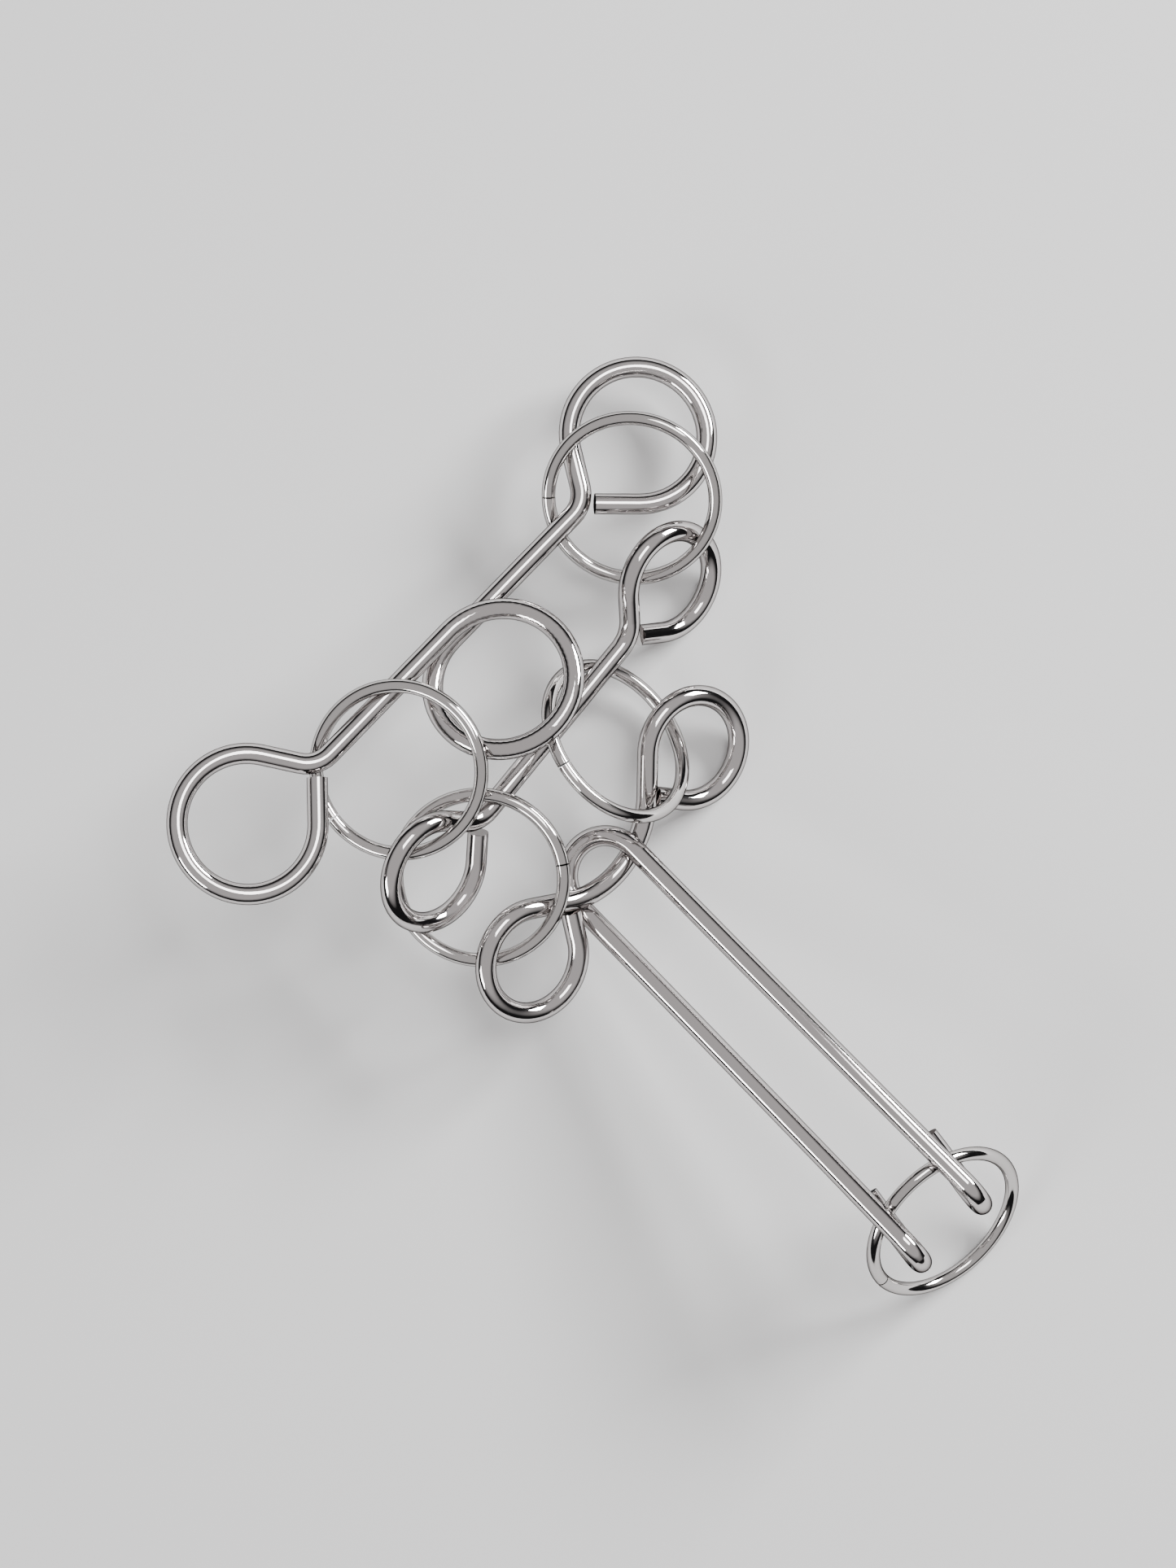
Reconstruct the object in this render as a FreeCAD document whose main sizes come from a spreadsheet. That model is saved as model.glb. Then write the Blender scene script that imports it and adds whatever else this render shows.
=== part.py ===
import FreeCAD, Part
import math
import os
import Sketcher

# Bent-wire disentanglement puzzle: three looped rungs of heavy wire, tied together in a ladder by
# lighter wire rings, and a long U-shaped shuttle loop hooked round the shortest rung and closed
# by a ring of its own.  Millimetres.  +X runs along the longest rung, the shuttle reaches towards
# -Y, and the puzzle lies in a heap on the plane Z = 0.

DOC = FreeCAD.newDocument("wire_puzzle")

# ---------------------------------------------------------------------------------------------
# Driving dimensions
# ---------------------------------------------------------------------------------------------

DIMENSIONS = {
    "wire_radius": 1.6,              # rungs and shuttle
    "ring_wire_radius": 1.05,        # rings
    "ring_radius": 12.74,            # ring centre line
    "ring_arc_degrees": 358.8,       # the rest is the butt seam
    "bend_radius": 5.0,              # where a bar turns into its eye
    "end_setback": 1.6,              # from the bar's bend point to the cut end of an eye
    "long_length": 58.33,            # between the bend points of the long rung
    "long_loop_radius": 10.60,
    "long_loop_reach": 13.57,        # bend point to eye centre
    "long_left_lean": 57.70,         # degrees from the bar to the neck of the eye
    "long_right_lean": 57.20,
    "long_left_twist": 20.51,        # degrees from the plane of the coil to the plane of the eye
    "long_right_twist": 18.48,
    "coil_radius": 10.89,
    "coil_pitch": 3.5,
    "coil_offset": -0.30,            # start of the coil from the middle of the bar
    "middle_length": 37.21,
    "middle_loop_radius": 8.11,
    "middle_loop_reach": 10.36,
    "middle_left_lean": 55.42,
    "middle_right_lean": 55.84,
    "short_left_half": 9.78,         # from the lowest point of the bow to each bend point
    "short_right_half": 10.52,
    "short_bow_depth": 4.05,
    "short_loop_radius": 8.17,
    "short_loop_reach": 10.51,
    "shuttle_half_width": 6.35,      # half the distance between the two bars
    "shuttle_length": 71.19,         # bend centre to eye centre
    "shuttle_eye_radius": 3.95,
    "shuttle_end_reach": 9.27,       # eye centre back to the cut end
    "shuttle_end_drop": 5.2,         # bar centre line down to the cut end
    "shuttle_end_drift": 0.9,        # sideways from the bar to the cut end
    "shuttle_eye_twist": -0.45,      # degrees each eye is turned about its bar
    "shuttle_twist": -22.10,         # degrees between the plane of the bend and the two eyes
}

sheet = DOC.addObject("Spreadsheet::Sheet", "dims")
for row, (alias, value) in enumerate(DIMENSIONS.items(), start=1):
    sheet.set("A%d" % row, alias)
    sheet.set("B%d" % row, str(value))
    sheet.setAlias("B%d" % row, alias)
DOC.recompute()


def dim(alias):
    """One driving dimension, read from the sheet."""
    return float(getattr(sheet, alias))


# ---------------------------------------------------------------------------------------------
# Placements of the pieces: position, then yaw, pitch and roll in degrees
# ---------------------------------------------------------------------------------------------

PLACES = {
    "long_rung": ((0.02, 55.54, 17.00), (1.1, 10.8, -17.8)),
    "middle_rung": ((0.99, 34.48, 12.54), (5.9, 11.4, 43.4)),
    "short_rung": ((-6.42, 12.47, 8.26), (8.4, 9.4, 32.6)),
    "shuttle": ((-9.41, 12.99, 9.55), (-90.5, -11.2, 17.8)),
    "long_rung_ring_a": ((34.02, 50.99, 10.87), (133.8, 5.7, -20.3)),
    "long_rung_ring_b": ((-19.98, 46.63, 22.42), (171.9, 14.2, 0.1)),
    "middle_rung_ring_a": ((6.22, 26.66, 12.21), (161.1, -47.8, 7.6)),
    "middle_rung_ring_b": ((-22.92, 26.55, 15.77), (-35.1, -7.3, 8.8)),
    "shuttle_ring": ((-10.25, -60.11, 10.85), (178.3, -0.7, -49.8)),
}

RING_NAMES = (
    "long_rung_ring_a",              # round the long bar, through the middle rung's upper eye
    "long_rung_ring_b",              # round the long bar, through the middle rung's lower eye
    "middle_rung_ring_a",            # round the middle bar, through the short rung's upper eye
    "middle_rung_ring_b",            # round the middle bar, through the short rung's lower eye
    "shuttle_ring",                  # through both eyes of the shuttle
)


# ---------------------------------------------------------------------------------------------
# Looped rungs made from sketches: a section swept along each half of the centre line
# ---------------------------------------------------------------------------------------------

def origin_plane(body, role):
    """The origin plane of a body with the given role, such as XY_Plane."""
    for feature in body.Origin.OriginFeatures:
        if feature.Role == role:
            return feature
    raise ValueError("no origin plane " + role)


def new_sketch(body, name, role):
    """An empty sketch on one of the body's own origin planes."""
    sketch = body.newObject("Sketcher::SketchObject", name)
    sketch.AttachmentSupport = (origin_plane(body, role), [""])
    sketch.MapMode = "FlatFace"
    return sketch


def point(x, y):
    return FreeCAD.Vector(x, y, 0)


def line(start, end):
    return Part.LineSegment(start, end)


def arc(centre, radius, start_degrees, end_degrees):
    circle = Part.Circle(centre, FreeCAD.Vector(0, 0, 1), radius)
    return Part.ArcOfCircle(circle, math.radians(start_degrees), math.radians(end_degrees))


def bind(sketch, constraint, name, expression):
    """Add a driving constraint and bind it to the sheet."""
    index = sketch.addConstraint(constraint)
    sketch.renameConstraint(index, name)
    sketch.setExpression("Constraints." + name, expression)


START = 1
END = 2
CENTRE = 3


def draw_half_path(path, family, side, bowed):
    """Centre line of one half of a rung, from the middle of the bar at the origin to the cut end.

    The neck leans away from the bar by one angle and the leg comes back at another; the two
    add up to twice the angle between the eye's tangents and the line to its centre."""
    radius = dim(family + "_loop_radius")
    reach = dim(family + "_loop_reach")
    bend = dim("bend_radius")
    setback = dim("end_setback")
    tangent_angle = math.asin(radius / reach)
    tangent = math.sqrt(reach * reach - radius * radius)
    spread = "asin(dims.%s_loop_radius / dims.%s_loop_reach)" % (family, family)
    if bowed:
        half = dim("%s_%s_half" % (family, side))
        rise = dim(family + "_bow_depth")
        lean = 2 * math.atan(rise / half)
        half_text = "dims.%s_%s_half" % (family, side)
        lean_text = "2 * atan(dims.%s_bow_depth / %s)" % (family, half_text)
    else:
        half = dim(family + "_length") / 2
        rise = 0.0
        lean = math.radians(dim("%s_%s_lean" % (family, side)))
        half_text = "dims.%s_length / 2" % family
        lean_text = "dims.%s_%s_lean * 1 deg" % (family, side)
    eye_turn = lean - tangent_angle
    leg_lean = tangent_angle - eye_turn
    corner = point(half, rise)
    eye_centre = corner + point(reach * math.cos(eye_turn), reach * math.sin(eye_turn))
    neck_end = corner + point(tangent * math.cos(lean), tangent * math.sin(lean))
    leg_start = corner + point(tangent * math.cos(leg_lean), -tangent * math.sin(leg_lean))
    leg_end = corner + point(setback * math.cos(leg_lean), -setback * math.sin(leg_lean))
    lean_degrees = math.degrees(lean)
    turn_degrees = math.degrees(eye_turn)
    eye_angle = 90 + math.degrees(tangent_angle)

    if bowed:
        bow_radius = half / math.sin(lean)
        path.addGeometry(arc(point(0, bow_radius), bow_radius, -90, -90 + lean_degrees), False)
        path.addGeometry(line(corner, neck_end), False)
        neck = 1
    else:
        trim = bend * math.tan(lean / 2)
        bend_end = point(half + trim * math.cos(lean), trim * math.sin(lean))
        path.addGeometry(line(point(0, 0), point(half - trim, 0)), False)
        path.addGeometry(arc(point(half - trim, bend), bend, -90, -90 + lean_degrees), False)
        path.addGeometry(line(bend_end, neck_end), False)
        neck = 2
    eye = neck + 1
    leg = neck + 2
    path.addGeometry(arc(eye_centre, radius, turn_degrees - eye_angle,
                         turn_degrees + eye_angle), False)
    path.addGeometry(line(leg_start, leg_end), False)

    for first in range(neck):
        path.addConstraint(Sketcher.Constraint("Tangent", first, END, first + 1, START))
    path.addConstraint(Sketcher.Constraint("Tangent", neck, END, eye, END))
    path.addConstraint(Sketcher.Constraint("Tangent", eye, START, leg, START))
    path.addConstraint(Sketcher.Constraint("Coincident", 0, START, -1, 1))
    words = {"half": half_text, "turn": "(%s - %s)" % (lean_text, spread),
             "leg": "(2 * %s - %s)" % (spread, lean_text), "family": family}
    bind(path, Sketcher.Constraint("Radius", eye, radius), "eye_radius",
         "dims.{family}_loop_radius".format(**words))
    bind(path, Sketcher.Constraint("DistanceX", -1, 1, eye, CENTRE, eye_centre.x), "eye_along",
         "{half} + dims.{family}_loop_reach * cos{turn}".format(**words))
    bind(path, Sketcher.Constraint("DistanceX", -1, 1, leg, END, leg_end.x), "end_along",
         "{half} + dims.end_setback * cos{leg}".format(**words))
    if bowed:
        bind(path, Sketcher.Constraint("DistanceY", -1, 1, leg, END, leg_end.y), "end_across",
             "dims.{family}_bow_depth - dims.end_setback * sin{leg}".format(**words))
        path.addConstraint(Sketcher.Constraint("PointOnObject", 0, CENTRE, -2))
        bind(path, Sketcher.Constraint("Radius", 0, bow_radius), "bow_radius",
             "{half} / sin({lean})".format(half=half_text, lean=lean_text))
        bind(path, Sketcher.Constraint("DistanceX", -1, 1, 0, END, half), "bow_end", half_text)
    else:
        bind(path, Sketcher.Constraint("DistanceY", leg, END, -1, 1, -leg_end.y), "end_across",
             "dims.end_setback * sin{leg}".format(**words))
        bind(path, Sketcher.Constraint("DistanceY", -1, 1, eye, CENTRE, eye_centre.y),
             "eye_across", "dims.{family}_loop_reach * sin{turn}".format(**words))
        path.addConstraint(Sketcher.Constraint("Horizontal", 0))
        bind(path, Sketcher.Constraint("Radius", 1, bend), "bend_radius", "dims.bend_radius")
        bind(path, Sketcher.Constraint("DistanceX", -1, 1, 0, END, half - trim), "bar_end",
             "{half} - dims.bend_radius * tan({lean} / 2)".format(half=half_text,
                                                                lean=lean_text))


def looped_rung(label, family, bowed):
    """A straight or bowed bar with a teardrop eye bent round at each end."""
    body = DOC.addObject("PartDesign::Body", label)
    body.Label = label
    section = new_sketch(body, label + "_section", "YZ_Plane")
    section.addGeometry(Part.Circle(point(0, 0), FreeCAD.Vector(0, 0, 1), dim("wire_radius")),
                        False)
    section.addConstraint(Sketcher.Constraint("Coincident", 0, CENTRE, -1, 1))
    bind(section, Sketcher.Constraint("Radius", 0, dim("wire_radius")), "wire_radius",
         "dims.wire_radius")
    half_turn = FreeCAD.Rotation(FreeCAD.Vector(0, 1, 0), 180)
    for side in ("right", "left"):
        path = new_sketch(body, "%s_%s_path" % (label, side), "XY_Plane")
        if side == "left":
            path.AttachmentOffset = FreeCAD.Placement(FreeCAD.Vector(0, 0, 0), half_turn)
        draw_half_path(path, family, side, bowed)
        DOC.recompute()
        half_wire = body.newObject("PartDesign::AdditivePipe", "%s_%s_half" % (label, side))
        half_wire.Profile = section
        half_wire.Spine = (path, [])
        DOC.recompute()
    return body


# ---------------------------------------------------------------------------------------------
# Wires bent in three dimensions: swept along lines, arcs and one helical turn
# ---------------------------------------------------------------------------------------------

def vector(x, y, z):
    return FreeCAD.Vector(x, y, z)


def straight(start, end):
    return Part.makeLine(start, end)


def arc_through(centre, across, up, radius, start_degrees, end_degrees):
    """Arc of a circle in the plane of two unit vectors."""
    points = []
    for step in (0.0, 0.5, 1.0):
        turn = math.radians(start_degrees + step * (end_degrees - start_degrees))
        points.append(centre + across * (radius * math.cos(turn)) + up * (radius * math.sin(turn)))
    return Part.Arc(*points).toShape()


def swept_wire(edges, radius):
    """Round wire along a chain of edges that meet smoothly."""
    path = Part.Wire(edges)
    start = path.OrderedVertexes[0].Point
    first = path.OrderedEdges[0]
    parameter = first.FirstParameter
    if (first.valueAt(parameter) - start).Length > 1e-4:
        parameter = first.LastParameter
    ring = Part.Wire([Part.makeCircle(radius, start, first.tangentAt(parameter))])
    solid = path.makePipeShell([ring], True, False)
    if solid.Volume < 0:
        solid.reverse()
    expected = math.pi * radius * radius * path.Length
    if abs(solid.Volume - expected) > 0.02 * expected:
        raise RuntimeError("a swept wire has the wrong volume: %.1f" % solid.Volume)
    return solid


def eye_half(side, bend_x, offset):
    """Edges of one end of the long rung, from the cut end to the start of the straight bar."""
    name = "right" if side > 0 else "left"
    radius = dim("long_loop_radius")
    reach = dim("long_loop_reach")
    bend = dim("bend_radius")
    setback = dim("end_setback")
    lean = math.radians(dim("long_%s_lean" % name))
    twist = math.radians(dim("long_%s_twist" % name))
    tangent_angle = math.asin(radius / reach)
    tangent = math.sqrt(reach * reach - radius * radius)
    eye_turn = lean - tangent_angle
    leg_lean = tangent_angle - eye_turn
    trim = bend * math.tan(lean / 2)
    along = vector(side, 0, 0)
    up = vector(0, math.cos(twist), math.sin(twist))
    origin = vector(bend_x, 0, offset)
    neck = along * math.cos(lean) + up * math.sin(lean)
    leg = along * math.cos(leg_lean) - up * math.sin(leg_lean)
    eye_centre = origin + along * (reach * math.cos(eye_turn)) + up * (reach * math.sin(eye_turn))
    bar_start = origin - along * trim
    turn = math.degrees(eye_turn)
    opening = 90 + math.degrees(tangent_angle)
    edges = [
        straight(origin + leg * setback, origin + leg * tangent),
        arc_through(eye_centre, along, up, radius, turn - opening, turn + opening),
        straight(origin + neck * tangent, origin + neck * trim),
        arc_through(bar_start + up * bend, along, up, bend, -90 + math.degrees(lean), -90),
    ]
    return edges, bar_start


def long_rung():
    """Straight bar with an eye at each end and one full turn of coil in the middle."""
    radius = dim("coil_radius")
    pitch = dim("coil_pitch")
    offset = dim("coil_offset")
    half_length = dim("long_length") / 2
    slope = math.atan(pitch / (2 * math.pi * radius))
    # The helix starts at (radius, 0, 0) heading towards +Y and climbing.  Moved to the origin
    # and turned over, it starts heading along +X, sinks, and has its turn on the -Y side.
    coil = Part.makeHelix(pitch, pitch, radius)
    coil.translate(vector(-radius, 0, 0))
    coil.rotate(vector(0, 0, 0), vector(1, 1, 0), 180)
    coil.rotate(vector(0, 0, 0), vector(0, 1, 0), -math.degrees(slope))
    coil.translate(vector(offset, 0, pitch / 2))
    turn = coil.Edges[0]
    turn_start = turn.valueAt(turn.FirstParameter)
    turn_end = turn.valueAt(turn.LastParameter)
    left, left_bar = eye_half(-1, -half_length, turn_start.z)
    right, right_bar = eye_half(1, half_length, turn_end.z)
    edges = left + [straight(left_bar, turn_start), turn, straight(turn_end, right_bar)]
    edges += list(reversed(right))
    return swept_wire(edges, dim("wire_radius"))


def arc_onward(start, direction, end):
    """Arc that leaves one point in a given direction and ends at another, and its last direction."""
    chord = end - start
    along = chord.dot(direction)
    aside = chord - direction * along
    angle = math.atan2(aside.Length, along)
    inward = aside.normalize()
    radius = chord.Length / (2 * math.sin(angle))
    middle = direction * math.cos(angle / 2) + inward * math.sin(angle / 2)
    middle = start + middle * (2 * radius * math.sin(angle / 2))
    last = direction * math.cos(2 * angle) + inward * math.sin(2 * angle)
    return Part.Arc(start, middle, end).toShape(), last


def shuttle_side(across):
    """One bar of the shuttle with the eye at its end, from the bend to the cut end.

    The eye curls down and back and drifts sideways.  The whole side is then twisted about the
    middle line of the shuttle, by an angle that grows with the square of the distance."""
    length = dim("shuttle_length")
    radius = dim("shuttle_eye_radius")
    reach = dim("shuttle_end_reach")
    drop = dim("shuttle_end_drop")
    drift = dim("shuttle_end_drift")
    rise = radius - drop
    distance = math.hypot(reach, rise)
    leave = math.degrees(math.acos(radius / distance) - math.atan2(rise, reach)) - 180
    curl_length = radius * math.radians(90 - leave)
    leg_length = math.sqrt(distance * distance - radius * radius)
    share_of_curl = curl_length / (curl_length + leg_length)
    eye_twist = FreeCAD.Rotation(vector(1, 0, 0), dim("shuttle_eye_twist"))

    def in_place(forward, down, share):
        """A point of the eye, moved sideways, turned about the bar and twisted."""
        place = eye_twist.multVec(vector(forward, drift * share * share, down))
        place += vector(length, across, 0)
        angle = dim("shuttle_twist") * (place.x / length) ** 2
        return FreeCAD.Rotation(vector(1, 0, 0), angle).multVec(place)

    stops = [in_place(0, 0, 0)]
    curl_arcs = 4
    for step in range(1, curl_arcs + 1):
        turn = math.radians(90 + (leave - 90) * step / curl_arcs)
        stops.append(in_place(radius * math.cos(turn), radius * math.sin(turn) - radius,
                              share_of_curl * step / curl_arcs))
    stops.append(in_place(-reach, -drop, 1))
    edges = []
    place = vector(0, across, 0)
    direction = vector(1, 0, 0)
    for stop in stops:
        edge, direction = arc_onward(place, direction, stop)
        edges.append(edge)
        place = stop
    return edges


def shuttle():
    """Long U of wire whose two free ends turn down and back under themselves as eyes."""
    half_width = dim("shuttle_half_width")
    bend = arc_through(vector(0, 0, 0), vector(1, 0, 0), vector(0, 1, 0), half_width, 90, 270)
    edges = shuttle_side(half_width) + [bend] + shuttle_side(-half_width)
    return swept_wire(edges, dim("wire_radius"))


# ---------------------------------------------------------------------------------------------
# Pieces
# ---------------------------------------------------------------------------------------------

def wire_ring(label):
    """Ring of the lighter wire with a narrow butt seam."""
    ring = DOC.addObject("Part::Torus", label)
    ring.Label = label
    ring.setExpression("Radius1", "dims.ring_radius")
    ring.setExpression("Radius2", "dims.ring_wire_radius")
    ring.setExpression("Angle3", "dims.ring_arc_degrees")
    return ring


def shaped(label, shape):
    """A piece whose shape is computed from the sheet's numbers."""
    piece = DOC.addObject("Part::Feature", label)
    piece.Label = label
    piece.Shape = shape
    return piece


pieces = [
    shaped("long_rung", long_rung()),
    looped_rung("middle_rung", "middle", False),
    looped_rung("short_rung", "short", True),
    shaped("shuttle", shuttle()),
]
for name in RING_NAMES:
    pieces.append(wire_ring(name))
DOC.recompute()

for piece in pieces:
    position, turns = PLACES[piece.Label]
    rotation = FreeCAD.Rotation(*turns)
    piece.Placement = FreeCAD.Placement(FreeCAD.Vector(*position), rotation)
DOC.recompute()

for item in DOC.Objects:
    if "Invalid" in item.State or "Error" in item.State:
        raise RuntimeError(item.Label + " did not recompute: " + str(item.State))

os.makedirs("parts", exist_ok=True)
box = FreeCAD.BoundBox()
for piece in pieces:
    shape = piece.Shape
    if shape.isNull() or not shape.isValid():
        raise RuntimeError(piece.Label + " has no valid shape")
    if len(shape.Solids) != 1:
        raise RuntimeError(piece.Label + " is not one solid")
    solid = shape.Solids[0]
    box.add(solid.optimalBoundingBox(False))
    solid.exportStep("parts/" + piece.Label + ".step")
    print("%-20s volume %8.2f mm3" % (piece.Label, solid.Volume))
print("box", [round(value, 3) for value in
              (box.XMin, box.XMax, box.YMin, box.YMax, box.ZMin, box.ZMax)])
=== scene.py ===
import math

import bpy
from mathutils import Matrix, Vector

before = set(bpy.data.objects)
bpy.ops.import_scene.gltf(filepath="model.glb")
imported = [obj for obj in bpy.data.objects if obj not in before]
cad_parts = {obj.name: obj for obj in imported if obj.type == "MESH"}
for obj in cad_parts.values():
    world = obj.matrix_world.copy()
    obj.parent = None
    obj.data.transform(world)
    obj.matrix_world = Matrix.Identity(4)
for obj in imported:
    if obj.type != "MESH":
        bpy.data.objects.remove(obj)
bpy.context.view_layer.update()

# Metres and watts. Colours are linear.
RUNG_TINT = (0.63, 0.605, 0.60)
RUNG_ROUGHNESS = 0.06
RING_TINT = (0.62, 0.60, 0.59)
RING_ROUGHNESS = 0.07
DARK_EDGE = (0.0, 0.0, 0.0, 1)       # what the plate gives back at a glancing angle
WAVE_SCALE = 260.0
WAVE_STRENGTH = 0.05
WAVE_DEPTH = 0.00012

FLOOR_SIDE = 3.0
FLOOR_HEIGHT = -0.0002
FLOOR_GREY = 0.66
FLOOR_ROUGHNESS = 0.9
FLOOR_GLOSS = 0.2

HORIZON_UP_TO = 0.30                 # height of the view direction, one being overhead
OVERHEAD_FROM = 0.62
HORIZON_COLOUR = (0.015, 0.015, 0.016, 1)
OVERHEAD_COLOUR = (0.64, 0.62, 0.62, 1)

CAMERA_HEIGHT = 1.0
CAMERA_TURN = -45.0                  # degrees; the long rung then runs up to the right
SENSOR_SIDE = 36.0
VIEW_LONG_SIDE = 0.240875            # length at floor level along the picture's longer side
CENTRE = (-0.00139, 0.02501)         # middle of the view


# ---------------------------------------------------------------------------------------------
# Materials
# ---------------------------------------------------------------------------------------------

def plated_wire(name, tint, roughness):
    """Polished nickel-chrome plate with faint drawing waves."""
    material = bpy.data.materials.new(name)
    material.use_nodes = True
    nodes = material.node_tree.nodes
    links = material.node_tree.links
    shader = nodes["Principled BSDF"]
    shader.inputs["Base Color"].default_value = (*tint, 1)
    shader.inputs["Metallic"].default_value = 1.0
    shader.inputs["Roughness"].default_value = roughness
    shader.inputs["Specular Tint"].default_value = DARK_EDGE
    coords = nodes.new("ShaderNodeTexCoord")
    waves = nodes.new("ShaderNodeTexNoise")
    waves.inputs["Scale"].default_value = WAVE_SCALE
    waves.inputs["Detail"].default_value = 2.0
    links.new(coords.outputs["Object"], waves.inputs["Vector"])
    bump = nodes.new("ShaderNodeBump")
    bump.inputs["Strength"].default_value = WAVE_STRENGTH
    bump.inputs["Distance"].default_value = WAVE_DEPTH
    links.new(waves.outputs["Fac"], bump.inputs["Height"])
    links.new(bump.outputs["Normal"], shader.inputs["Normal"])
    return material


def flat_material(name, grey):
    """Plain paper-like surface of one grey."""
    material = bpy.data.materials.new(name)
    material.use_nodes = True
    shader = material.node_tree.nodes["Principled BSDF"]
    shader.inputs["Base Color"].default_value = (grey, grey, grey, 1)
    shader.inputs["Roughness"].default_value = FLOOR_ROUGHNESS
    shader.inputs["Specular IOR Level"].default_value = FLOOR_GLOSS
    return material


rung_plate = plated_wire("rung_plate", RUNG_TINT, RUNG_ROUGHNESS)
ring_plate = plated_wire("ring_plate", RING_TINT, RING_ROUGHNESS)

for name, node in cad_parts.items():
    plate = ring_plate if "ring" in name else rung_plate
    node.data.materials.clear()
    node.data.materials.append(plate)
    for face in node.data.polygons:
        face.use_smooth = True


# ---------------------------------------------------------------------------------------------
# Surface and lights
# ---------------------------------------------------------------------------------------------

bpy.ops.mesh.primitive_plane_add(size=FLOOR_SIDE, location=(0, 0, FLOOR_HEIGHT))
floor = bpy.context.object
floor.name = "floor"
floor.data.materials.append(flat_material("pale_grey", FLOOR_GREY))


def from_picture(right, up, height):
    """A place given in the camera's own right and up, which lie diagonally to X and Y."""
    root = math.sqrt(2)
    return ((right + up) / root, (up - right) / root, height)


def area_light(name, location, size, power):
    """A rectangular light aimed at the middle of the heap."""
    light = bpy.data.lights.new(name, "AREA")
    light.shape = "RECTANGLE"
    light.size, light.size_y = size
    light.energy = power
    holder = bpy.data.objects.new(name, light)
    bpy.context.collection.objects.link(holder)
    holder.location = location
    direction = -Vector(location)
    holder.rotation_euler = direction.to_track_quat("-Z", "Y").to_euler()


area_light("key", from_picture(0.80, 0.62, 0.52), (0.55, 0.30), 30.0)
area_light("fill", from_picture(-0.72, -0.60, 0.50), (0.60, 0.24), 7.0)
area_light("top", from_picture(0.30, 0.35, 1.30), (0.50, 0.50), 6.0)


# ---------------------------------------------------------------------------------------------
# Room: dark round the horizon and mid grey overhead, which draws the dark lines along both
# sides of each wire and the even grey down its middle
# ---------------------------------------------------------------------------------------------

world = bpy.data.worlds.new("room")
bpy.context.scene.world = world
world.use_nodes = True
nodes = world.node_tree.nodes
links = world.node_tree.links
direction = nodes.new("ShaderNodeTexCoord")
split = nodes.new("ShaderNodeSeparateXYZ")
height_ramp = nodes.new("ShaderNodeValToRGB")
links.new(direction.outputs["Generated"], split.inputs["Vector"])
links.new(split.outputs["Z"], height_ramp.inputs["Fac"])
links.new(height_ramp.outputs["Color"], nodes["Background"].inputs["Color"])
horizon, overhead = height_ramp.color_ramp.elements
horizon.position = HORIZON_UP_TO
horizon.color = HORIZON_COLOUR
overhead.position = OVERHEAD_FROM
overhead.color = OVERHEAD_COLOUR
nodes["Background"].inputs["Strength"].default_value = 1.0


# ---------------------------------------------------------------------------------------------
# Camera: straight above
# ---------------------------------------------------------------------------------------------

camera = bpy.data.cameras.new("camera")
camera.sensor_fit = "AUTO"
camera.sensor_width = SENSOR_SIDE
camera.lens = SENSOR_SIDE * CAMERA_HEIGHT / VIEW_LONG_SIDE
holder = bpy.data.objects.new("camera", camera)
bpy.context.collection.objects.link(holder)
holder.location = (*CENTRE, CAMERA_HEIGHT)
holder.rotation_euler = (0, 0, math.radians(CAMERA_TURN))
bpy.context.scene.camera = holder
